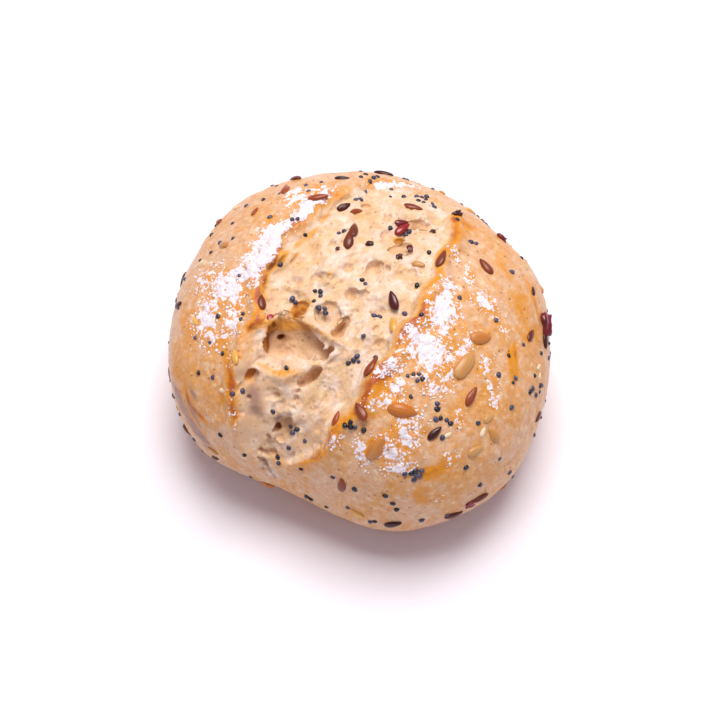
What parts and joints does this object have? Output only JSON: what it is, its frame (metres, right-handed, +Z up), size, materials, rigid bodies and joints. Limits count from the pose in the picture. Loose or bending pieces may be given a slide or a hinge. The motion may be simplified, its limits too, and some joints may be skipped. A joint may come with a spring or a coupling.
{
  "type": "seeded bread roll",
  "caption": "Round crusty bread roll with one torn slash along its top, open crumb inside the tear, and seeds baked into the skin.",
  "frame": {"origin": "centre of the roll's outline at the level of its flat base", "axes": "+Z up from the base, +Y along the slash to its far end, +X across the slash to the wider shoulder"},
  "size_m": [0.0936, 0.0856, 0.0506],
  "materials": {
    "crust": "satin baked crust, matt crumb in the tear"
  },
  "bodies": {
    "root": {"bread_roll": "crust"}
  },
  "joints": []
}
